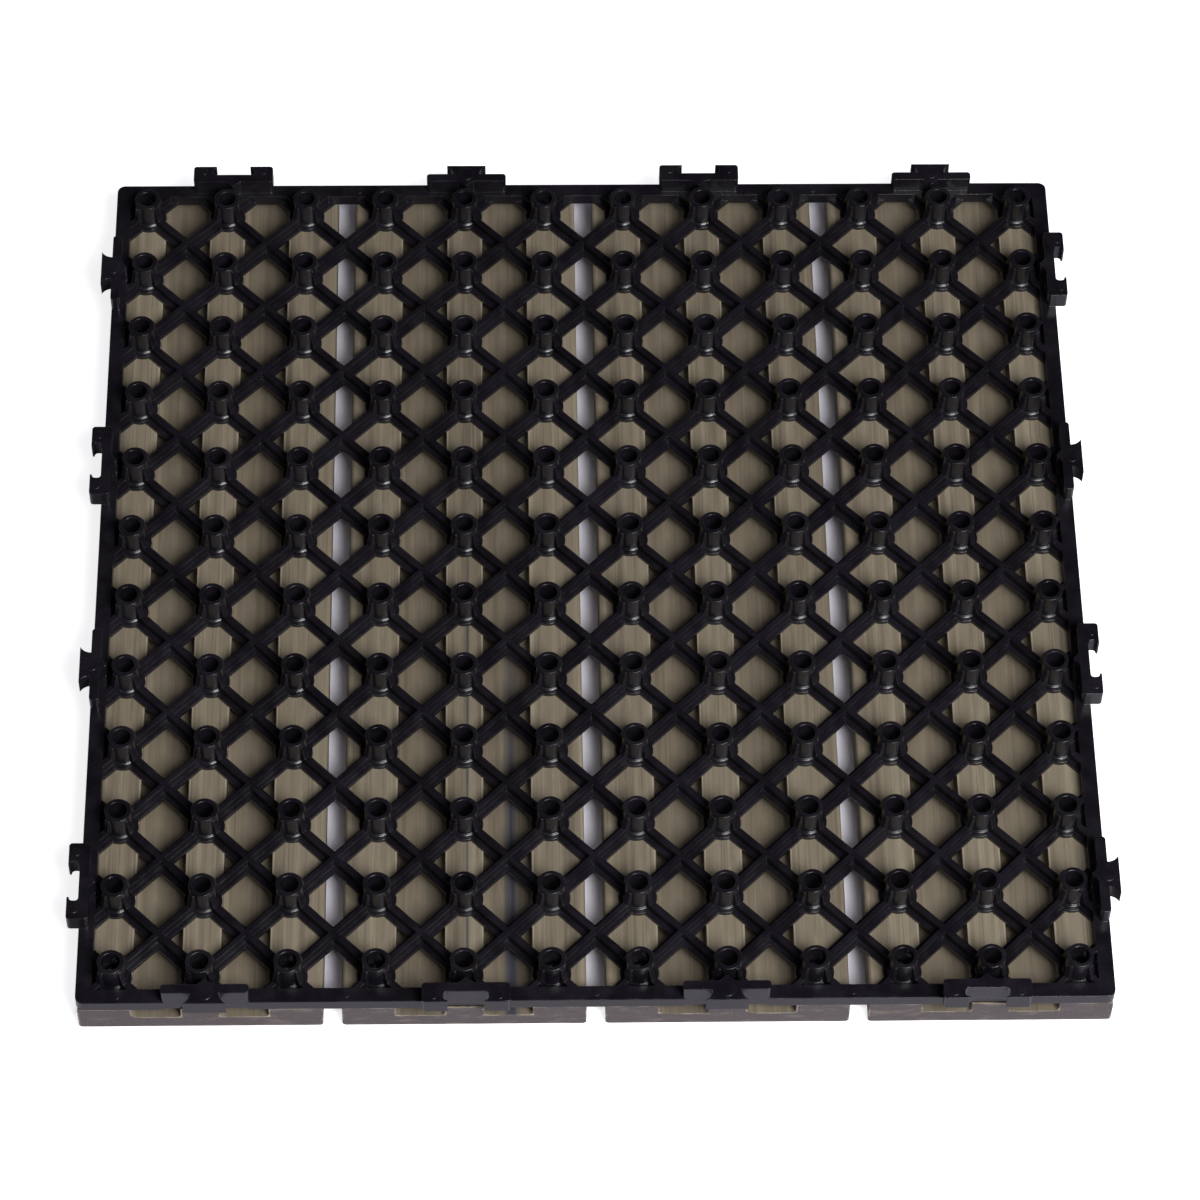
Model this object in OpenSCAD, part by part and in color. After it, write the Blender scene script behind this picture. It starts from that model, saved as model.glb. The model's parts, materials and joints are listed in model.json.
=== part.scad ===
// Composite deck tile: four extruded slats screwed to a moulded interlocking base grid.
// It lies as it is stored, walking face down, with the pegs of the grid up.
// Origin: centre of the walking face. X runs across the slats, Y runs along them, Z is up.

/* [Layout] */
// Distance between neighbouring pegs
peg_pitch = 25; // [20:0.5:32]
// Pegs across one slat
pegs_per_slat = 3; // [3:2:5]
// Number of slats
slat_count = 4; // [2:2:6]
// Space between the rims of two tiles that are clipped together
tile_gap = 4.8; // [4.4:0.1:6]

/* [Slats] */
// Gap between one slat and the next
slat_gap = 5.4; // [3:0.2:12]
// Thickness of one slat
slat_t = 9.8; // [8:0.1:14]
// How much shorter the slats are than the laying pitch of the tile
slat_end_gap = 5; // [4.6:0.1:12]
// Radius of the long edges of a slat
slat_edge_r = 1.2; // [0.5:0.1:2]
// Width of the drainage grooves in the hidden face
groove_w = 14; // [6:0.5:16]
// Depth of the drainage grooves
groove_d = 4.5; // [2:0.1:5]
// Radius of the two inner corners of a groove
groove_r = 1.5; // [0.3:0.1:1.8]

/* [Rim and ribs] */
// Height of the rim above the slats
rim_h = 4; // [3:0.1:5]
// Width of the rim
rim_w = 4.5; // [3.8:0.1:5]
// Outer corner radius of the rim
rim_corner_r = 2.4; // [1:0.1:4]
// Thickness of the upright web of a rib
rib_t = 1.6; // [1:0.1:2.5]
// Height of the ribs above the slats
rib_h = 4; // [3:0.1:5]
// Width of the flange under each rib
flange_w = 4.7; // [3:0.1:6]
// Thickness of the flange
flange_t = 1.2; // [0.8:0.1:2]

/* [Pegs] */
// Height of the whole grid, from the slats to the tops of the pegs
grid_h = 10; // [9:0.1:16]
// Outer diameter of a peg
peg_d = 7.7; // [7:0.1:10]
// Diameter of the socket down a peg
socket_d = 5.5; // [5:0.1:6]
// Thickness of the floor under a socket
socket_floor = 1.6; // [1.2:0.1:2.4]
// Reach of a fin past the peg, at its top
fin_top_reach = 0.5; // [0.2:0.1:1]
// Reach of a fin past the peg, at the ribs
fin_foot_reach = 1.6; // [1:0.1:3]
// Plain ring left above the fins
ring_h = 1; // [0.5:0.1:2]
// Diameter of the round foot of a peg
foot_d = 11; // [9.5:0.1:12]

/* [Clips] */
// Length of a clip along the edge
clip_w = 25; // [22:0.2:26]
// Thickness of the bar that carries a tongue or two ears
clip_bar_t = 2.9; // [2.2:0.1:3.4]
// Reach of tongues and ears past the rim
clip_reach = 3.3; // [2.8:0.1:3.6]
// How far the clips stay below the tops of the pegs
clip_drop = 0.4; // [0:0.1:1]
// Width of a tongue at its root
tongue_root_w = 8.2; // [7:0.1:9]
// Width of a tongue at its tip
tongue_tip_w = 12.2; // [11:0.1:13]
// Play on each side of a tongue in the notch that takes it
notch_play = 0.4; // [0.2:0.05:0.6]
// Reach of the lips that close the mouth of a notch
lip_reach = 1.2; // [0.8:0.1:1.6]
// Thickness of a lip
lip_t = 0.6; // [0.4:0.1:1]
// Radius of the corners of a clip
clip_corner_r = 1; // [0.5:0.1:1.2]
// Reach of the boss behind a clip
boss_reach = 1.8; // [1:0.1:2.2]
// Width of the boss where it leaves the bar
boss_w = 4.6; // [3:0.1:6]
// Radius of the tip of the boss
boss_tip_r = 0.7; // [0.4:0.1:0.9]
// Height of the arched relief under a clip, in the outer face of the rim
arch_h = 3.6; // [2:0.1:3.8]
// Depth of the arched relief
arch_d = 0.5; // [0.2:0.1:0.8]

/* [Screws] */
// Diameter of a screw head
head_d = 5; // [4.4:0.1:5.4]
// Height of a screw head
head_h = 1.9; // [1.4:0.1:2.4]
// Diameter of a screw shank
shank_d = 2.8; // [2.4:0.1:3.2]
// Length of a screw under its head
screw_len = 8.8; // [7:0.1:9]
// Play around a shank in the slat and in the socket floor
shank_play = 0.05; // [0.02:0.01:0.2]

/* [Hidden] */
$fn = 48;

slat_pitch = peg_pitch * pegs_per_slat;
peg_count = pegs_per_slat * slat_count;
slat_w = slat_pitch - slat_gap;
tile_w = peg_pitch * peg_count;
slat_len = tile_w - slat_end_gap;
rim_half = (tile_w - tile_gap) / 2;
rim_top = slat_t + rim_h;
peg_top = slat_t + grid_h;
clip_top = peg_top - clip_drop;
rib_half = rim_half - rim_w / 2;
notch_w = tongue_tip_w + 2 * notch_play;
peg_r = peg_d / 2;

// Places of the pegs along one axis
peg_places = [for (i = [0 : peg_count - 1]) (i - (peg_count - 1) / 2) * peg_pitch];
// Places of the slats
slat_places = [for (i = [0 : slat_count - 1]) (i - (slat_count - 1) / 2) * slat_pitch];
// Places of the clips along an edge of the rim
clip_places = [for (i = [0 : slat_count - 1]) (i - (slat_count - 1) / 2) * 2 * rim_half / slat_count];
// A screw stands in both edge pegs of a slat, in the first and the last row
function is_screwed(column, row) = (row == 0 || row == peg_count - 1)
    && (column % pegs_per_slat == 0 || column % pegs_per_slat == pegs_per_slat - 1);

// Rectangle with four rounded corners, centred
module rounded_rect(w, d, r) {
    square([w - 2 * r, d], center = true);
    square([w, d - 2 * r], center = true);
    for (x = [-1, 1], y = [-1, 1])
        translate([x * (w / 2 - r), y * (d / 2 - r)]) circle(r);
}

// Places its children at every peg that has a screw, or at every one that has none
module each_peg(screwed) {
    for (i = [0 : peg_count - 1], j = [0 : peg_count - 1])
        if (is_screwed(i, j) == screwed) translate([peg_places[i], peg_places[j], 0]) children();
}

// Frame around the ribs, standing on the slats
module rim() {
    translate([0, 0, slat_t]) linear_extrude(rim_h) difference() {
        rounded_rect(2 * rim_half, 2 * rim_half, rim_corner_r);
        square(2 * (rim_half - rim_w), center = true);
    }
}

// Offsets of the diagonal lines of pegs from the middle one
diagonals = [1 - peg_count : peg_count - 1];

// Length of a diagonal line inside the rim
function diagonal_length(k) = (2 * rib_half - abs(k) * peg_pitch) * sqrt(2);

// Places its children on every diagonal line of pegs, both ways; $k is the line's offset
module each_diagonal() {
    for (turn = [0, 90], k = diagonals) rotate(turn) {
        $k = k;
        translate([k * peg_pitch / 2, -k * peg_pitch / 2]) rotate(45) children();
    }
}

// Upright plate of one rib, which rises into a fin at both sides of each peg
module rib_plate() {
    pegs = peg_count - abs($k);
    length = diagonal_length($k);
    foot = peg_r + fin_foot_reach;
    top = peg_r + fin_top_reach;
    fin_h = grid_h - ring_h;
    places = [for (i = [0 : pegs - 1]) (i - (pegs - 1) / 2) * peg_pitch * sqrt(2)];
    rotate([90, 0, 0]) linear_extrude(rib_t, center = true) polygon(concat(
        [[length / 2, 0], [-length / 2, 0], [-length / 2, rib_h]],
        [for (c = places) each [[c - foot, rib_h], [c - top, fin_h], [c + top, fin_h], [c + foot, rib_h]]],
        [[length / 2, rib_h]]
    ));
}

// Flanges under the ribs
module flanges() {
    linear_extrude(flange_t)
        each_diagonal() square([diagonal_length($k), flange_w], center = true);
}

// Ribs of inverted T section, crossing at the pegs and between them
module ribs() {
    translate([0, 0, slat_t]) {
        each_diagonal() rib_plate();
        flanges();
    }
}

// Tube of one peg on its round foot
module peg() {
    translate([0, 0, slat_t]) {
        cylinder(h = grid_h, d = peg_d);
        cylinder(h = flange_t, d = foot_d);
    }
}

// Boss behind a clip: a wedge with a round tip, pointing to the peg
module boss_outline() {
    translate([0, -boss_reach + boss_tip_r]) circle(boss_tip_r);
    polygon([[-boss_w / 2, 0], [-boss_tip_r, boss_tip_r - boss_reach],
        [boss_tip_r, boss_tip_r - boss_reach], [boss_w / 2, 0]]);
}

// Tongue that flares to its tip, with hollow sides
module tongue_outline() {
    flare = (tongue_tip_w - tongue_root_w) / 2;
    flare_r = (clip_reach * clip_reach + flare * flare) / (2 * flare);
    difference() {
        translate([-tongue_tip_w / 2, 0]) square([tongue_tip_w, clip_reach]);
        for (x = [-1, 1]) translate([x * (tongue_root_w / 2 + flare_r), 0]) circle(flare_r);
    }
}

// Plain bar of a clip; Y = 0 is the outer face of the rim
module bar_outline() {
    translate([0, -clip_bar_t / 2]) rounded_rect(clip_w, clip_bar_t, clip_corner_r);
}

// Bar with two hooked ears, which take the tongue of the next tile
module notch_outline() {
    cavity_d = clip_reach - lip_t;
    difference() {
        translate([0, (clip_reach - clip_bar_t) / 2])
            rounded_rect(clip_w, clip_reach + clip_bar_t, clip_corner_r);
        translate([0, cavity_d / 2]) rounded_rect(notch_w, cavity_d, clip_corner_r);
        translate([lip_reach - notch_w / 2, cavity_d / 2])
            square([notch_w - 2 * lip_reach, clip_reach]);
    }
}

// Upright strip on the rim, with a tongue or a notch and a boss behind it
module clip(is_tongue) {
    foot_h = rim_h / 2;
    translate([0, 0, slat_t + foot_h]) linear_extrude(clip_top - rim_top + foot_h) bar_outline();
    translate([0, 0, rim_top]) linear_extrude(clip_top - rim_top) {
        translate([0, -clip_bar_t]) boss_outline();
        if (is_tongue) tongue_outline();
        else notch_outline();
    }
}

// Places its children at every clip; $i counts along an edge
module each_clip() {
    for (turn = [0, 90, 180, 270], i = [0 : slat_count - 1]) {
        $i = i;
        rotate(turn) translate([clip_places[i], rim_half, 0]) children();
    }
}

// Shallow arch in the outer face of the rim, as wide as the clip above it
module arch() {
    arch_r = (clip_w * clip_w / 4 + arch_h * arch_h) / (2 * arch_h);
    translate([0, 1, slat_t + arch_h - arch_r]) rotate([90, 0, 0])
        cylinder(h = 1 + arch_d, r = arch_r);
}

module base_grid() {
    color([0.13, 0.12, 0.14]) difference() {
        union() {
            rim();
            ribs();
            for (screwed = [false, true]) each_peg(screwed) peg();
            // Tongues and notches alternate, so each one meets its opposite on the next tile
            each_clip() clip($i % 2 == 1);
        }
        each_clip() arch();
        each_peg(false) cylinder(h = peg_top + 1, d = socket_d);
        each_peg(true) {
            translate([0, 0, slat_t + socket_floor]) cylinder(h = grid_h, d = socket_d);
            cylinder(h = peg_top, d = shank_d + 2 * shank_play);
        }
    }
}

// Cross-section of a slat: round edges and two grooves in the hidden face
module slat_outline() {
    difference() {
        translate([0, slat_t / 2]) rounded_rect(slat_w, slat_t, slat_edge_r);
        for (side = [-1, 1]) translate([side * peg_pitch / 2, slat_t])
            rounded_rect(groove_w, 2 * groove_d, groove_r);
    }
}

module slat(index) {
    x = slat_places[index];
    color([0.45, 0.41, 0.36]) difference() {
        translate([x, slat_len / 2, 0]) rotate([90, 0, 0]) linear_extrude(slat_len) slat_outline();
        each_peg(true) translate([0, 0, slat_t + socket_floor - screw_len - shank_play])
            cylinder(h = slat_t, d = shank_d + 2 * shank_play);
    }
}

// Pan head on the floor of its socket, shank down into the slat
module screws() {
    color([0.75, 0.75, 0.76]) each_peg(true) translate([0, 0, slat_t + socket_floor]) {
        cylinder(h = head_h, d = head_d);
        translate([0, 0, -screw_len]) cylinder(h = screw_len + head_h / 2, d = shank_d);
    }
}

base_grid();
slat(0);  // slat_1
slat(1);  // slat_2
slat(2);  // slat_3
slat(3);  // slat_4
screws();
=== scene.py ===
"""Deck tile of wood-composite slats on a black moulded grid, lying walking face down in a white studio.

Run as a script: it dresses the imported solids, adds the fine pieces and sets up camera, lamps and floor.
"""

import json
import math

import bmesh
import bpy
from bpy.props import (
    FloatProperty,
    FloatVectorProperty,
    IntProperty,
    PointerProperty,
)
from mathutils import Matrix, Vector


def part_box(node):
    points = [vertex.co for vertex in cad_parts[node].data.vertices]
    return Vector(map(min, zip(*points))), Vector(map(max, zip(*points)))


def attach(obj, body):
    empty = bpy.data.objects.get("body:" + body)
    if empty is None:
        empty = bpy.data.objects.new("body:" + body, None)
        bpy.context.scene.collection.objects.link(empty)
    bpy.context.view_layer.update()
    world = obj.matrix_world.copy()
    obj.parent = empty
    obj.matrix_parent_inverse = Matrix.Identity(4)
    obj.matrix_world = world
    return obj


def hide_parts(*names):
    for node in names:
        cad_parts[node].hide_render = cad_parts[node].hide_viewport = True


bl_info = {
    "name": "Composite deck tile",
    "version": (1, 0, 0),
    "blender": (4, 5, 0),
    "location": "3D View > Sidebar > Deck tile",
    "description": "Finishes, screws, moulding marks and studio for a composite deck tile",
    "category": "Object",
}

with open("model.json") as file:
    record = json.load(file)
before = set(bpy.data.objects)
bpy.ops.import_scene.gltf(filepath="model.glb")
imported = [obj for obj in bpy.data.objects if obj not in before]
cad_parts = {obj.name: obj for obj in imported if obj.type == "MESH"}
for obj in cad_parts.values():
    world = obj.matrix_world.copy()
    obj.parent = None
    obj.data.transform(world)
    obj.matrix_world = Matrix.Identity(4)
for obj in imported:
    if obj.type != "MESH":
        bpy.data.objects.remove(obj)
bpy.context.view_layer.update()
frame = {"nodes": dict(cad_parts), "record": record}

MM = 0.001
PEG_COUNT = 12
PEG_PITCH = 25 * MM
SLAT_COUNT = 4
SLAT_PITCH = 75 * MM
GRID_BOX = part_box("base_grid")
SLAT_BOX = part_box("slat_1")
SCREW_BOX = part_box("screws")
PEG_TOP = GRID_BOX[1].z
SLAT_TOP = SLAT_BOX[1].z
SLAT_W = SLAT_BOX[1].x - SLAT_BOX[0].x
SLAT_LEN = SLAT_BOX[1].y - SLAT_BOX[0].y
GROOVE_HALF = 7 * MM
GROOVE_FLOOR = SLAT_TOP - 4.5 * MM
PEG_R = 3.85 * MM
FOOT_TOP = SLAT_TOP + 1.2 * MM
RIM_TOP = SLAT_TOP + 4 * MM
CLIP_TOP = PEG_TOP - 0.4 * MM

# Nodes that are used often, and the settings that they share
MATH = "ShaderNodeMath"
VECTOR = "ShaderNodeVectorMath"
NOISE = "ShaderNodeTexNoise"
SPLIT = "ShaderNodeSeparateXYZ"
RAMP = "ShaderNodeMapRange"
SMOOTH = {"interpolation_type": "SMOOTHSTEP"}
MIX = "ShaderNodeMix"
COLOURS = {"data_type": "RGBA"}


def linear(colour):
    """Linear RGB of an sRGB hex colour such as #7a705f."""
    channels = [int(colour[i : i + 2], 16) / 255 for i in (1, 3, 5)]
    return tuple(c / 12.92 if c <= 0.04045 else ((c + 0.055) / 1.055) ** 2.4 for c in channels)


def colour_property(name, colour, description):
    """A colour that the user can change, given as sRGB hex."""
    return FloatVectorProperty(
        name=name, description=description, subtype="COLOR", size=3, min=0, max=1, default=linear(colour)
    )


def length_property(name, millimetres, description):
    """A length that the user can change; the value is in metres, the default in millimetres."""
    return FloatProperty(
        name=name, description=description, default=millimetres * MM, min=0, unit="LENGTH", precision=5
    )


class GridLook(bpy.types.PropertyGroup):
    """Finish of the moulded grid"""

    plastic: colour_property("Plastic", "#110f14", "Colour of the black polypropylene")
    sheen_grey: colour_property("Flow marks", "#1a181e", "Paler colour where the melt flowed together")
    roughness: FloatProperty(
        name="Roughness", description="Roughness of the moulded skin", default=0.25, min=0, max=1
    )
    edge_radius: length_property("Edge radius", 0.45, "Radius of the moulded edges")


class SlatLook(bpy.types.PropertyGroup):
    """Finish of the slats"""

    body: colour_property("Composite", "#766c5c", "Main colour of the wood and plastic mix")
    pale: colour_property("Pale streaks", "#8f8572", "Colour of the pale streaks along a slat")
    # Also the colour of the painted shade on the floors of the grooves
    dark: colour_property("Dark streaks", "#5a5144", "Colour of the dark streaks along a slat")
    sawn: colour_property("Sawn ends", "#494347", "Colour of the sawn end faces")
    # Also the colour of the painted highlight along the top edges of the grooves
    skin: colour_property("Skin", "#a09483", "Colour of the skin where a saw has torn it")
    stain: colour_property("Pigment streak", "#2e323f", "Colour of the streak of unmixed pigment")
    streak_width: length_property("Streak width", 2.2, "Width of the streaks")
    streak_length: length_property("Streak length", 150, "Length of the streaks")


class ScrewLook(bpy.types.PropertyGroup):
    """Sizes and finish of the screws"""

    zinc: colour_property("Zinc plate", "#cfd0d2", "Colour of the zinc plate")
    head_d: length_property("Head diameter", 5, "Diameter of the pan head")
    head_h: length_property("Head height", 1.9, "Height of the pan head")
    recess_w: length_property("Recess width", 2.8, "Span of the cross recess")
    seed: IntProperty(name="Seed", description="Seed of the screws' random turns", default=3, min=0)


class MouldLook(bpy.types.PropertyGroup):
    """Sizes of the marks that the mould leaves"""

    tongue_mark_d: length_property("Tongue mark", 4.8, "Diameter of the ejector mark on a tongue")
    ear_mark_d: length_property("Ear mark", 2.6, "Diameter of the ejector mark on an ear")
    gate_d: length_property("Gate", 2.2, "Diameter of a gate mark on the rim")
    relief: length_property("Relief", 0.2, "How far a mark stands proud")
    fillet: length_property("Fillet", 0.8, "Radius of the fillet at the foot of a peg")


class StageLook(bpy.types.PropertyGroup):
    """Studio around the tile"""

    key: FloatProperty(
        name="Key lamp", description="Light at the tile from the lamp at the front right", default=4.0, min=0
    )
    fill: FloatProperty(
        name="Fill lamp", description="Light at the tile from the lamp overhead", default=0.3, min=0
    )
    sky: FloatProperty(
        name="Sky", description="Strength of the even light around", default=0.08, min=0
    )
    floor_size: FloatProperty(
        name="Floor size", description="Width of the floor", default=6, min=1, unit="LENGTH"
    )


def fill(tree, socket, value):
    """Gives an input its value, or links it to an output or to the first visible output of a node."""
    if isinstance(value, bpy.types.Node):
        value = next(output for output in value.outputs if output.enabled)
    if isinstance(value, bpy.types.NodeSocket):
        tree.links.new(value, socket)
    elif socket.type == "RGBA":
        socket.default_value = (*value, 1)
    else:
        socket.default_value = value


def add(tree, kind, inputs=(), **settings):
    """Adds a node with its settings; inputs are given by name, or in the order of those that it shows."""
    made = tree.nodes.new(kind)
    for name, value in settings.items():
        setattr(made, name, value)
    if not isinstance(inputs, dict):
        shown = [socket.identifier for socket in made.inputs if socket.enabled]
        inputs = dict(zip(shown, inputs))
        sockets = {socket.identifier: socket for socket in made.inputs}
    else:
        sockets = made.inputs
    for key, value in inputs.items():
        fill(tree, sockets[key], value)
    return made


def new_material(name):
    """Material with an empty tree, its shader and its output."""
    material = bpy.data.materials.new(name)
    material.use_nodes = True
    tree = material.node_tree
    tree.nodes.clear()
    shader = add(tree, "ShaderNodeBsdfPrincipled")
    add(tree, "ShaderNodeOutputMaterial", {"Surface": shader.outputs["BSDF"]})
    return material, tree, shader


def per(millimetres):
    """Noise scale whose features are about so many millimetres across."""
    return 1 / (millimetres * MM)


def moulded_polypropylene(look):
    """Black polypropylene straight from the mould: satin, clean, with rounded edges that catch the light."""
    material, tree, shader = new_material("moulded_polypropylene")
    place = add(tree, "ShaderNodeTexCoord").outputs["Object"]
    flow = add(tree, NOISE, (place, per(30), 3))
    cloud = add(tree, NOISE, (place, per(6), 4))
    # The eroded mould leaves a grain of about 0.15 mm; it is drawn at 0.5 mm, so that it shows
    grain = add(tree, NOISE, (place, per(0.5), 2))
    both = add(tree, MATH, (flow, cloud), operation="ADD")
    share = add(tree, RAMP, (both, 0.7, 1.3), **SMOOTH)
    colour = add(tree, MIX, (share, look.plastic, look.sheen_grey), **COLOURS)
    fill(tree, shader.inputs["Base Color"], colour)
    rough = add(tree, RAMP, (cloud, 0.3, 0.7, look.roughness - 0.05, look.roughness + 0.09), **SMOOTH)
    fill(tree, shader.inputs["Roughness"], rough)
    shader.inputs["IOR"].default_value = 1.49
    normal = add(tree, "ShaderNodeBevel", {"Radius": look.edge_radius}, samples=6)
    for pattern, height in ((cloud, 0.03 * MM), (grain, 0.006 * MM)):
        bent = {"Height": pattern, "Strength": 1.0, "Distance": height, "Normal": normal}
        normal = add(tree, "ShaderNodeBump", bent)
    fill(tree, shader.inputs["Normal"], normal)
    return material


def wood_composite(look):
    """Extruded wood flour and polyethylene: matt, streaked along its length, with coarse grey sawn ends."""
    material, tree, shader = new_material("wood_composite")
    place = add(tree, "ShaderNodeTexCoord").outputs["Object"]
    axes = add(tree, SPLIT, [place]).outputs
    outwards = add(tree, "ShaderNodeNewGeometry").outputs["Normal"]
    facing = add(tree, SPLIT, [outwards]).outputs

    # Each slat has its own streaks: the pattern is moved by a random amount for each slat's number
    pitches = add(tree, MATH, (axes["X"], SLAT_PITCH), operation="DIVIDE")
    from_left = add(tree, MATH, (pitches, SLAT_COUNT / 2), operation="ADD")
    number = add(tree, MATH, [from_left], operation="FLOOR")
    chance = add(tree, "ShaderNodeTexWhiteNoise", {"W": number}, noise_dimensions="1D")
    own = add(tree, VECTOR, (place, chance.outputs["Color"]), operation="ADD")

    # Streaks, lines and fibres are the same kind of noise, drawn out along the slat by their own shares
    drawn_out = look.streak_width / look.streak_length
    streaked = add(tree, VECTOR, (own, (1, drawn_out, 1)), operation="MULTIPLY")
    band = add(tree, NOISE, (streaked, 0.25 / look.streak_width, 2))
    streak = add(tree, NOISE, (streaked, 1 / look.streak_width, 3))
    lined = add(tree, VECTOR, (own, (1, 0.012, 1)), operation="MULTIPLY")
    line = add(tree, NOISE, (lined, per(0.5), 1))
    fibrous = add(tree, VECTOR, (own, (1, 0.12, 1)), operation="MULTIPLY")
    fibre = add(tree, NOISE, (fibrous, per(0.7), 3))
    half_band = add(tree, MATH, (band, 0.5), operation="MULTIPLY")
    half_streak = add(tree, MATH, (streak, 0.5), operation="MULTIPLY")
    tone = add(tree, MATH, (half_band, half_streak), operation="ADD")
    colour = look.body
    layers = [
        (tone, (0.5, 0.7), 0.8, look.pale),
        (tone, (0.5, 0.32), 0.8, look.dark),
        (line, (0.55, 0.75), 0.6, look.dark),
        (line, (0.4, 0.25), 0.4, look.pale),
        (fibre, (0.6, 0.75), 0.3, look.pale),
    ]
    for pattern, (none_at, full_at), most, tint in layers:
        share = add(tree, RAMP, (pattern, none_at, full_at, 0, most), **SMOOTH)
        colour = add(tree, MIX, (share, colour, tint), **COLOURS)

    # Painted shade: the floors of the grooves are darkened towards the dark streak colour, where shade falls
    # in them
    height = (GROOVE_FLOOR + 1.0 * MM, GROOVE_FLOOR + 0.2 * MM)
    painted_groove_shade = add(tree, RAMP, (axes["Z"], *height, 0, 0.45), **SMOOTH)
    colour = add(tree, MIX, (painted_groove_shade, colour, look.dark), **COLOURS)

    # Unmixed pigment in the second slat: a broad streak that fades from the front end, and a fine line.
    # Each has its middle across, its half width, where it fades in from and is full, and its strength.
    broad = (-24.2 * MM, 3.6 * MM, 20 * MM, -90 * MM, 1.0)
    fine = (-36.6 * MM, 0.8 * MM, 25 * MM, -20 * MM, 0.8)
    for middle, half, none_from, full_from, strength in (broad, fine):
        offset = add(tree, MATH, (axes["X"], middle), operation="SUBTRACT")
        aside = add(tree, MATH, [offset], operation="ABSOLUTE")
        waver = add(tree, MATH, (streak, half), operation="MULTIPLY")
        ragged = add(tree, MATH, (aside, waver), operation="ADD")
        across = add(tree, RAMP, (ragged, 1.4 * half, 0.5 * half), **SMOOTH)
        faded = add(tree, RAMP, (axes["Y"], none_from, full_from, 0, strength), **SMOOTH)
        share = add(tree, MATH, (across, faded), operation="MULTIPLY")
        colour = add(tree, MIX, (share, colour, look.stain), **COLOURS)

    # Ends: sawn across, so the mix shows as grains, with the torn skin pale along the edges
    lengthwise = add(tree, MATH, [facing["Y"]], operation="ABSOLUTE")
    end = add(tree, RAMP, (lengthwise, 0.6, 0.9), **SMOOTH)
    speck = add(tree, NOISE, (own, per(0.6), 3))
    flattened = add(tree, VECTOR, (own, (1, 1, 3)), operation="MULTIPLY")
    smear = add(tree, NOISE, (flattened, per(7), 3))
    grainy = add(tree, RAMP, (speck, 0.35, 0.65, 0, 0.45), **SMOOTH)
    sawn = add(tree, MIX, (grainy, look.sawn, look.dark), **COLOURS)
    smeared = add(tree, RAMP, (smear, 0.5, 0.75, 0, 0.3), **SMOOTH)
    sawn = add(tree, MIX, (smeared, sawn, look.pale), **COLOURS)
    beside, nearest = edge_distances(tree, axes)
    along_edge = add(tree, RAMP, (nearest, 0.55 * MM, 0.1 * MM), **SMOOTH)
    patchy = add(tree, RAMP, (smear, 0.38, 0.6), **SMOOTH)
    torn = add(tree, MATH, (along_edge, patchy), operation="MULTIPLY")
    sawn = add(tree, MIX, (torn, sawn, look.skin), **COLOURS)

    # Painted highlight: a pale line along the top edges of the grooves, where their rounded edges catch the
    # light
    off_middle = add(tree, MATH, (beside, 0.25 * MM), operation="SUBTRACT")
    off_edge = add(tree, MATH, [off_middle], operation="ABSOLUTE")
    near_edge = add(tree, RAMP, (off_edge, 0.35 * MM, 0.15 * MM), **SMOOTH)
    near_top = add(tree, RAMP, (axes["Z"], SLAT_TOP - 1.0 * MM, SLAT_TOP - 0.4 * MM, 0, 0.5), **SMOOTH)
    painted_edge_highlight = add(tree, MATH, (near_edge, near_top), operation="MULTIPLY")
    colour = add(tree, MIX, (painted_edge_highlight, colour, look.skin), **COLOURS)
    fill(tree, shader.inputs["Base Color"], add(tree, MIX, (end, colour, sawn), **COLOURS))

    rough = add(tree, RAMP, (fibre, 0.3, 0.7, 0.5, 0.68), **SMOOTH)
    fill(tree, shader.inputs["Roughness"], rough)
    shader.inputs["IOR"].default_value = 1.5
    scored = add(tree, VECTOR, (own, (0.15, 1, 1)), operation="MULTIPLY")
    saw = add(tree, NOISE, (scored, per(0.5), 2))
    torn_grain = add(tree, MATH, (speck, saw), operation="ADD")
    rough_end = add(tree, MATH, (end, torn_grain), operation="MULTIPLY")
    not_end = add(tree, MATH, (1.0, end), operation="SUBTRACT")
    drawn = add(tree, MATH, (not_end, line), operation="MULTIPLY")
    normal = add(tree, "ShaderNodeBevel", {"Radius": 0.4 * MM}, samples=4)
    for pattern, height in ((drawn, 0.05 * MM), (fibre, 0.04 * MM), (rough_end, 0.12 * MM)):
        bent = {"Height": pattern, "Strength": 1.0, "Distance": height, "Normal": normal}
        normal = add(tree, "ShaderNodeBump", bent)
    fill(tree, shader.inputs["Normal"], normal)
    return material


def edge_distances(tree, axes):
    """How far a place lies beside the nearest groove, and how far from the outline of a slat's section."""
    # Distance across from the middle of the slat, folded so that both halves are one
    within_pitch = add(tree, MATH, (axes["X"], SLAT_PITCH), operation="FLOORED_MODULO")
    off_middle = add(tree, MATH, (within_pitch, SLAT_PITCH / 2), operation="SUBTRACT")
    across = add(tree, MATH, [off_middle], operation="ABSOLUTE")
    from_side = add(tree, MATH, (SLAT_W / 2, across), operation="SUBTRACT")
    from_top = add(tree, MATH, (SLAT_TOP, axes["Z"]), operation="SUBTRACT")
    from_face = add(tree, MATH, (axes["Z"], from_top), operation="MINIMUM")
    outside = add(tree, MATH, (from_side, from_face), operation="MINIMUM")
    # A groove runs midway between two rows of pegs
    off_groove = add(tree, MATH, (across, PEG_PITCH / 2), operation="SUBTRACT")
    from_groove = add(tree, MATH, [off_groove], operation="ABSOLUTE")
    beside = add(tree, MATH, (from_groove, GROOVE_HALF), operation="SUBTRACT")
    below = add(tree, MATH, (GROOVE_FLOOR, axes["Z"]), operation="SUBTRACT")
    inside = add(tree, MATH, (beside, below), operation="MAXIMUM")
    return beside, add(tree, MATH, (outside, inside), operation="MINIMUM")


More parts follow.
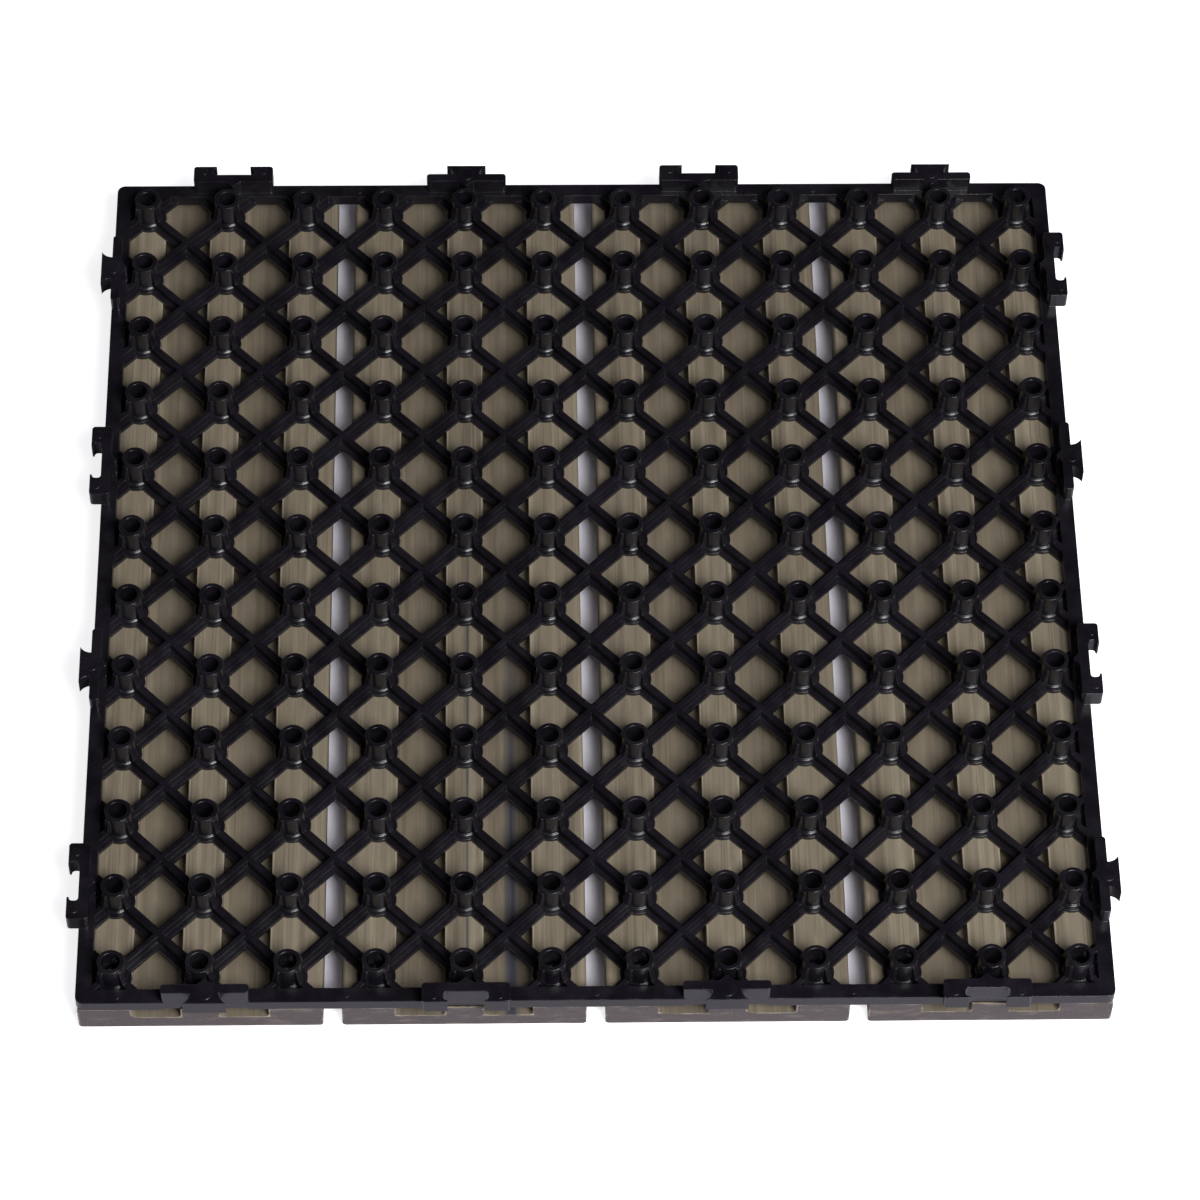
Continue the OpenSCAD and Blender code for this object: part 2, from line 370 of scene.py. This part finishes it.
def zinc_plate(look):
    """Bright zinc plate on steel: pale metal with a faint spangle."""
    material, tree, shader = new_material("zinc_plate")
    place = add(tree, "ShaderNodeTexCoord").outputs["Object"]
    spangle = add(tree, NOISE, (place, per(0.8), 2))
    dull = tuple(0.75 * c for c in look.zinc)
    share = add(tree, RAMP, (spangle, 0.35, 0.65), **SMOOTH)
    fill(tree, shader.inputs["Base Color"], add(tree, MIX, (share, look.zinc, dull), **COLOURS))
    rough = add(tree, RAMP, (spangle, 0.3, 0.7, 0.22, 0.38), **SMOOTH)
    fill(tree, shader.inputs["Roughness"], rough)
    shader.inputs["Metallic"].default_value = 1.0
    return material


def dress(names, material):
    """Gives CAD nodes a material through their own slots."""
    for name in names:
        node = frame["nodes"][name]
        for place in node.material_slots:
            place.material = material


def geometry_tree(name, inputs):
    """Geometry node group with a geometry input and output, and the named inputs (name, kind)."""
    tree = bpy.data.node_groups.new(name, "GeometryNodeTree")
    tree.interface.new_socket("Geometry", in_out="INPUT", socket_type="NodeSocketGeometry")
    tree.interface.new_socket("Geometry", in_out="OUTPUT", socket_type="NodeSocketGeometry")
    for label, kind in inputs:
        tree.interface.new_socket(label, in_out="INPUT", socket_type=kind)
    return tree, add(tree, "NodeGroupInput").outputs


def finish_tree(tree, instances, material):
    """Ends a tree: instances become real geometry with the material."""
    real = add(tree, "GeometryNodeRealizeInstances", {"Geometry": instances})
    painted = add(
        tree, "GeometryNodeSetMaterial", {"Geometry": real.outputs["Geometry"], "Material": material}
    )
    add(tree, "NodeGroupOutput", {"Geometry": painted.outputs["Geometry"]})


def mesh_object(name, mesh):
    """New object with that mesh in the scene."""
    made = bpy.data.objects.new(name, mesh)
    bpy.context.scene.collection.objects.link(made)
    return made


def grow(name, points, tree, values, sizes=None):
    """Runs a tree on points and keeps the result as a plain mesh object; sizes is one number a point."""
    seeds = bpy.data.meshes.new(name + "_points")
    seeds.from_pydata([tuple(p) for p in points], [], [])
    if sizes:
        seeds.attributes.new("size", "FLOAT", "POINT").data.foreach_set("value", sizes)
    carrier = mesh_object(name + "_carrier", seeds)
    modifier = carrier.modifiers.new("Grow", "NODES")
    modifier.node_group = tree
    for item in tree.interface.items_tree:
        if item.item_type == "SOCKET" and item.in_out == "INPUT" and item.name in values:
            modifier[item.identifier] = values[item.name]
    bpy.context.view_layer.update()
    evaluated = carrier.evaluated_get(bpy.context.evaluated_depsgraph_get())
    mesh = bpy.data.meshes.new_from_object(evaluated)
    if not mesh.polygons:
        raise RuntimeError(f"{name} came out empty")
    mesh.name = name
    bpy.data.objects.remove(carrier)
    return mesh_object(name, mesh)


def lathe(profile, sides):
    """Bmesh of a profile of (radius, height) turned round Z; a radius of 0 closes it with a pole."""
    made = bmesh.new()
    rings = []
    for radius, height in profile:
        angles = [2 * math.pi * i / sides for i in range(sides if radius else 1)]
        places = [(radius * math.cos(a), radius * math.sin(a), height) for a in angles]
        rings.append([made.verts.new(place) for place in places])
    for low, high in zip(rings, rings[1:]):
        for i in range(sides):
            j = (i + 1) % sides
            corners = low[i % len(low)], low[j % len(low)], high[j % len(high)], high[i % len(high)]
            # A pole is named twice, and a face takes each corner once
            made.faces.new(dict.fromkeys(corners))
    bmesh.ops.recalc_face_normals(made, faces=made.faces)
    return made


def screw_mesh(look):
    """One screw: pan head with a cross recess, on a plain shank, its bearing face at height 0."""
    head_r = look.head_d / 2
    shank_r = 1.4 * MM
    shank_len = SCREW_BOX[1].z - SCREW_BOX[0].z - look.head_h
    # The point tapers over its length to a small blunt end
    point_len = 1.5 * MM
    blunt_r = 0.4 * shank_r
    steps = 6
    # The crown is a quarter ellipse on a short straight rim
    rim_h = 0.35 * look.head_h
    crown = [
        (
            head_r * math.cos(0.5 * math.pi * i / steps),
            rim_h + (look.head_h - rim_h) * math.sin(0.5 * math.pi * i / steps),
        )
        for i in range(steps)
    ]
    profile = [(0, -shank_len), (blunt_r, -shank_len), (shank_r, -shank_len + point_len)]
    profile += [(shank_r, 0), (head_r, 0), *crown, (0, look.head_h)]
    shape = lathe(profile, 32)
    mesh = bpy.data.meshes.new("screw")
    shape.to_mesh(mesh)
    shape.free()
    screw = mesh_object("screw_blank", mesh)

    # Cross recess: two tapered bars taken out of the crown, as shares of its span and of the head
    cutter = bmesh.new()
    depth = 0.75 * look.head_h
    clear = 0.2 * MM
    for turn in (0, 90):
        bar = bmesh.ops.create_cube(cutter, size=1)["verts"]
        for v in bar:
            top = v.co.z > 0
            v.co.x *= look.recess_w if top else 0.55 * look.recess_w
            v.co.y *= 0.26 * look.recess_w if top else 0.16 * look.recess_w
            v.co.z = look.head_h + (clear if top else -depth)
        bmesh.ops.rotate(cutter, verts=bar, matrix=Matrix.Rotation(math.radians(turn), 3, "Z"))
    tool_mesh = bpy.data.meshes.new("recess")
    cutter.to_mesh(tool_mesh)
    cutter.free()
    tool = mesh_object("recess_tool", tool_mesh)
    cut = screw.modifiers.new("Recess", "BOOLEAN")
    cut.operation = "DIFFERENCE"
    cut.solver = "EXACT"
    cut.use_self = True
    cut.object = tool
    bpy.context.view_layer.update()
    result = bpy.data.meshes.new_from_object(screw.evaluated_get(bpy.context.evaluated_depsgraph_get()))
    for spare in (screw, tool):
        bpy.data.objects.remove(spare)
    return result


def screw_tree(material):
    """Tree that stands a screw on each point, each turned by its own random angle."""
    tree, given = geometry_tree(
        "stand_screws", [("Screw", "NodeSocketObject"), ("Seed", "NodeSocketInt")]
    )
    shape = add(tree, "GeometryNodeObjectInfo", {"Object": given["Screw"]})
    angle = add(tree, "FunctionNodeRandomValue", {"Seed": given["Seed"]}, data_type="FLOAT")
    angle.inputs["Max"].default_value = math.pi
    turn = add(tree, "ShaderNodeCombineXYZ", {"Z": angle.outputs[1]})
    rotation = add(tree, "FunctionNodeEulerToRotation", {0: turn.outputs[0]})
    stood = add(
        tree,
        "GeometryNodeInstanceOnPoints",
        {"Points": given["Geometry"], "Instance": shape.outputs["Geometry"], "Rotation": rotation.outputs[0]},
    )
    finish_tree(tree, stood.outputs["Instances"], material)
    return tree


def mark_tree(material):
    """Tree that lays a thin round mark on each point, as wide as the point's size."""
    tree, given = geometry_tree(
        "lay_marks", [("Relief", "NodeSocketFloat"), ("Sides", "NodeSocketInt")]
    )
    # A unit disc, proud by the relief and sunk by as much
    height = add(tree, MATH, (given["Relief"], 2.0), operation="MULTIPLY")
    disc = add(
        tree, "GeometryNodeMeshCylinder", {"Vertices": given["Sides"], "Radius": 0.5, "Depth": height}
    )
    size = add(tree, "GeometryNodeInputNamedAttribute", {"Name": "size"}, data_type="FLOAT")
    width = size.outputs["Attribute"]
    scale = add(tree, "ShaderNodeCombineXYZ", {"X": width, "Y": width, "Z": 1.0})
    laid = add(
        tree,
        "GeometryNodeInstanceOnPoints",
        {"Points": given["Geometry"], "Instance": disc.outputs["Mesh"], "Scale": scale.outputs[0]},
    )
    finish_tree(tree, laid.outputs["Instances"], material)
    return tree


def fillet_tree(material):
    """Tree that sets the fillet of the peg's foot on each point."""
    tree, given = geometry_tree("set_fillets", [("Fillet", "NodeSocketObject")])
    shape = add(tree, "GeometryNodeObjectInfo", {"Object": given["Fillet"]})
    placed = add(
        tree,
        "GeometryNodeInstanceOnPoints",
        {"Points": given["Geometry"], "Instance": shape.outputs["Geometry"]},
    )
    smooth = add(tree, "GeometryNodeSetShadeSmooth", {"Geometry": placed.outputs["Instances"]})
    finish_tree(tree, smooth.outputs["Geometry"], material)
    return tree


def spots(count, pitch):
    """Evenly spaced places along one axis, centred on 0."""
    return [(i - (count - 1) / 2) * pitch for i in range(count)]


class DECKTILE_OT_grid(bpy.types.Operator):
    """Give the moulded grid its plastic"""

    bl_idname = "decktile.grid"
    bl_label = "Moulded grid"

    def execute(self, context):
        dress(["base_grid"], moulded_polypropylene(context.scene.decktile_grid))
        return {"FINISHED"}


class DECKTILE_OT_slats(bpy.types.Operator):
    """Give the slats their wood composite"""

    bl_idname = "decktile.slats"
    bl_label = "Slats"

    def execute(self, context):
        names = [f"slat_{i + 1}" for i in range(SLAT_COUNT)]
        dress(names, wood_composite(context.scene.decktile_slats))
        return {"FINISHED"}


class DECKTILE_OT_screws(bpy.types.Operator):
    """Stand a cross-recess screw in each socket that holds one"""

    bl_idname = "decktile.screws"
    bl_label = "Screws"

    def execute(self, context):
        look = context.scene.decktile_screws
        material = zinc_plate(look)
        # The first and the last row of pegs, at both edge pegs of each slat
        edge = PEG_PITCH * (PEG_COUNT - 1) / 2
        columns = [x + side * PEG_PITCH for x in spots(SLAT_COUNT, SLAT_PITCH) for side in (-1, 1)]
        seat = SCREW_BOX[1].z - look.head_h
        points = [(x, y, seat) for x in columns for y in (-edge, edge)]
        blank = mesh_object("screw_blank", screw_mesh(look))
        values = {"Screw": blank, "Seed": look.seed}
        screws = grow("cross_recess_screws", points, screw_tree(material), values)
        bpy.data.objects.remove(blank)
        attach(screws, "root")
        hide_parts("screws")
        return {"FINISHED"}


class DECKTILE_OT_mould_details(bpy.types.Operator):
    """Add the fillets at the pegs and the marks that the mould left"""

    bl_idname = "decktile.mould_details"
    bl_label = "Fillets and mould marks"

    def execute(self, context):
        look = context.scene.decktile_mould
        plastic = frame["nodes"]["base_grid"].material_slots[0].material
        self.fillets(look, plastic)
        self.marks(look, plastic)
        return {"FINISHED"}

    def fillets(self, look, plastic):
        """Concave fillet from each peg to its round foot, sunk a little into both."""
        steps = 4
        sunk = 0.1 * MM
        profile = [(PEG_R - sunk, -sunk), (PEG_R + look.fillet, -sunk)]
        for i in range(steps + 1):
            turn = 0.5 * math.pi * i / steps
            profile.append(
                (PEG_R + look.fillet * (1 - math.sin(turn)), look.fillet * (1 - math.cos(turn)))
            )
        profile += [(PEG_R - sunk, look.fillet), (PEG_R - sunk, -sunk)]
        shape = lathe(profile, 24)
        bmesh.ops.remove_doubles(shape, verts=shape.verts, dist=1e-7)
        bmesh.ops.recalc_face_normals(shape, faces=shape.faces)
        mesh = bpy.data.meshes.new("fillet")
        shape.to_mesh(mesh)
        shape.free()
        blank = mesh_object("fillet_blank", mesh)
        places = spots(PEG_COUNT, PEG_PITCH)
        points = [(x, y, FOOT_TOP) for x in places for y in places]
        fillets = grow("peg_fillets", points, fillet_tree(plastic), {"Fillet": blank})
        bpy.data.objects.remove(blank)
        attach(fillets, "root")

    def marks(self, look, plastic):
        """Ejector marks on the clips and gate marks on the rim."""
        points = []
        sizes = []
        # Places of the marks on a clip, from the tip of its tongue or notch
        tongue_back = 3.4 * MM
        ear_back = 0.4 * MM
        ear_aside = 9.4 * MM
        for mount in frame["record"]["mounts"]:
            if not mount["name"].startswith("clip_"):
                continue
            out = Vector(mount["axis"])
            along = Vector((-out.y, out.x, 0))
            tip = Vector(mount["pos_m"])
            if "tongue" in mount["name"]:
                points.append(tip - out * tongue_back)
                sizes.append(look.tongue_mark_d)
            else:
                for side in (-1, 1):
                    points.append(tip + along * side * ear_aside - out * ear_back)
                    sizes.append(look.ear_mark_d)
        points = [(p.x, p.y, CLIP_TOP) for p in points]
        # The rim's middle line lies well inside the tips of the tongues, which bound the grid
        rim_middle = GRID_BOX[1].x - 5.6 * MM
        # Gates on the front and the back length of the rim, by their X in millimetres
        for side, gates in ((-1, (-71, 0, 73, -136)), (1, (-71, 73))):
            for x in gates:
                points.append((x * MM, side * rim_middle, RIM_TOP))
                sizes.append(look.gate_d)
        marks = grow(
            "mould_marks", points, mark_tree(plastic), {"Relief": look.relief, "Sides": 32}, sizes
        )
        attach(marks, "root")


class DECKTILE_OT_stage(bpy.types.Operator):
    """Set up the camera, the lamps, the floor and the world"""

    bl_idname = "decktile.stage"
    bl_label = "Studio"

    def execute(self, context):
        look = context.scene.decktile_stage
        scene = context.scene
        scene.view_settings.view_transform = "Standard"
        self.camera(scene)
        self.world(scene, look)
        self.floor(look)
        # Lamp at the front right, and a large weak one overhead
        self.lamp("key_lamp", (0.66, -1.05, 1.33), 0.8, look.key)
        overhead = self.lamp("overhead_lamp", (0.2, -0.5, 1.8), 1.2, look.fill)
        overhead.visible_glossy = False
        return {"FINISHED"}

    def camera(self, scene):
        """Camera above the front edge, as the photograph was taken."""
        data = bpy.data.cameras.new("camera")
        data.sensor_width = 36
        data.lens = 139.74
        data.clip_start = 0.01
        camera = bpy.data.objects.new("camera", data)
        # The camera's place is given from the middle of the peg tops
        place = Vector((-0.024608, -0.785353, 1.154478 + PEG_TOP))
        forward = Vector((0.01986605, 0.55472578, -0.83179604))
        right = Vector((0.99978737, -0.01562185, 0.01346001))
        up = right.cross(forward)
        turn = Matrix((right, up, -forward)).transposed()
        camera.matrix_world = Matrix.Translation(place) @ turn.to_4x4()
        scene.collection.objects.link(camera)
        scene.camera = camera

    def world(self, scene, look):
        """Even light around; white to the camera, and dark overhead to glossy faces as in a studio."""
        world = bpy.data.worlds.new("studio")
        world.use_nodes = True
        tree = world.node_tree
        tree.nodes.clear()
        path = add(tree, "ShaderNodeLightPath").outputs
        direction = add(tree, "ShaderNodeTexCoord").outputs["Generated"]
        height = add(tree, SPLIT, [direction]).outputs["Z"]
        overhead = add(tree, RAMP, (height, 0.15, 0.5, 0.5, 0.0), **SMOOTH)
        mirrored = (path["Is Glossy Ray"], path["Is Transmission Ray"])
        glossy = add(tree, MATH, mirrored, operation="MAXIMUM")
        to_glossy = add(tree, MATH, (glossy, overhead), operation="MULTIPLY")
        to_matt = add(tree, MATH, (path["Is Diffuse Ray"], look.sky), operation="MULTIPLY")
        to_both = add(tree, MATH, (to_glossy, to_matt), operation="ADD")
        strength = add(tree, MATH, (to_both, path["Is Camera Ray"]), operation="MAXIMUM")
        colour = add(tree, MIX, (path["Is Camera Ray"], linear("#e6e1ee"), (1, 1, 1)), **COLOURS)
        back = add(tree, "ShaderNodeBackground", {"Color": colour, "Strength": strength})
        add(tree, "ShaderNodeOutputWorld", {"Surface": back.outputs["Background"]})
        scene.world = world

    def floor(self, look):
        """White paper floor: plain to the lamps, and lifted to white outside the tile where it is seen."""
        half = look.floor_size / 2
        mesh = bpy.data.meshes.new("studio_floor")
        corners = [(-half, -half, 0), (half, -half, 0), (half, half, 0), (-half, half, 0)]
        mesh.from_pydata(corners, [], [(0, 1, 2, 3)])
        floor = mesh_object("studio_floor", mesh)
        # Just below the tile, so that the two faces don't coincide
        floor.location.z = -0.2 * MM
        material = bpy.data.materials.new("white_paper")
        material.use_nodes = True
        tree = material.node_tree
        tree.nodes.clear()
        path = add(tree, "ShaderNodeLightPath").outputs
        rays = (path["Is Glossy Ray"], path["Is Transmission Ray"])
        mirrored = add(tree, MATH, rays, operation="MAXIMUM")
        faintly = add(tree, MATH, (mirrored, 0.1), operation="MULTIPLY")
        seen = add(tree, MATH, (path["Is Camera Ray"], faintly), operation="MAXIMUM")
        # No lift under the tile, so that its gaps stay as dark as they are. The dark part reaches further
        # back, where the camera looks in below the rim.
        place = add(tree, "ShaderNodeTexCoord").outputs["Object"]
        axes = add(tree, SPLIT, [place]).outputs
        aside = add(tree, MATH, [axes["X"]], operation="ABSOLUTE")
        shifted = add(tree, MATH, (axes["Y"], 6 * MM), operation="SUBTRACT")
        lengthwise = add(tree, MATH, [shifted], operation="ABSOLUTE")
        away = add(tree, MATH, (aside, lengthwise), operation="MAXIMUM")
        open_floor = add(tree, RAMP, (away, SLAT_LEN / 2 - 2 * MM, SLAT_LEN / 2 + 2 * MM), **SMOOTH)
        paper = add(tree, MIX, (mirrored, linear("#e4e1ec"), linear("#c4c1cb")), **COLOURS)
        matt = add(tree, "ShaderNodeBsdfDiffuse", {"Color": paper})
        open_seen = add(tree, MATH, (seen, open_floor), operation="MULTIPLY")
        strength = add(tree, MATH, (open_seen, 0.8), operation="MULTIPLY")
        lift = add(tree, "ShaderNodeEmission", {"Strength": strength})
        both = add(tree, "ShaderNodeAddShader", {0: matt.outputs[0], 1: lift.outputs[0]})
        add(tree, "ShaderNodeOutputMaterial", {"Surface": both.outputs[0]})
        mesh.materials.append(material)

    def lamp(self, name, place, size, power):
        """Square soft lamp aimed at the tile; the power is the light that it gives at the tile."""
        data = bpy.data.lights.new(name, "AREA")
        data.shape = "SQUARE"
        data.size = size
        towards = Vector(place)
        # An area lamp of P watts gives P / (pi * d * d) at the distance d straight ahead
        data.energy = power * math.pi * towards.length_squared
        lamp = bpy.data.objects.new(name, data)
        lamp.matrix_world = Matrix.Translation(towards) @ towards.to_track_quat("Z", "Y").to_matrix().to_4x4()
        bpy.context.scene.collection.objects.link(lamp)
        return lamp


class DECKTILE_PT_panel(bpy.types.Panel):
    """Steps that dress the deck tile"""

    bl_label = "Deck tile"
    bl_idname = "DECKTILE_PT_panel"
    bl_space_type = "VIEW_3D"
    bl_region_type = "UI"
    bl_category = "Deck tile"

    def draw(self, context):
        for step, look in STEPS:
            box = self.layout.box()
            box.operator(step.bl_idname)
            group = getattr(context.scene, look)
            for name in group.bl_rna.properties.keys():
                if name not in ("rna_type", "name"):
                    box.prop(group, name)


LOOKS = {
    "decktile_grid": GridLook,
    "decktile_slats": SlatLook,
    "decktile_screws": ScrewLook,
    "decktile_mould": MouldLook,
    "decktile_stage": StageLook,
}
STEPS = [
    (DECKTILE_OT_grid, "decktile_grid"),
    (DECKTILE_OT_slats, "decktile_slats"),
    (DECKTILE_OT_screws, "decktile_screws"),
    (DECKTILE_OT_mould_details, "decktile_mould"),
    (DECKTILE_OT_stage, "decktile_stage"),
]
CLASSES = [*LOOKS.values(), *(step for step, _ in STEPS), DECKTILE_PT_panel]


def register():
    for cls in CLASSES:
        bpy.utils.register_class(cls)
    for name, group in LOOKS.items():
        setattr(bpy.types.Scene, name, PointerProperty(type=group))


def unregister():
    for name in LOOKS:
        delattr(bpy.types.Scene, name)
    for cls in reversed(CLASSES):
        bpy.utils.unregister_class(cls)


def main():
    """Dresses the tile."""
    register()
    for step, _ in STEPS:
        group, name = step.bl_idname.split(".")
        getattr(getattr(bpy.ops, group), name)()


if __name__ == "__main__":
    main()
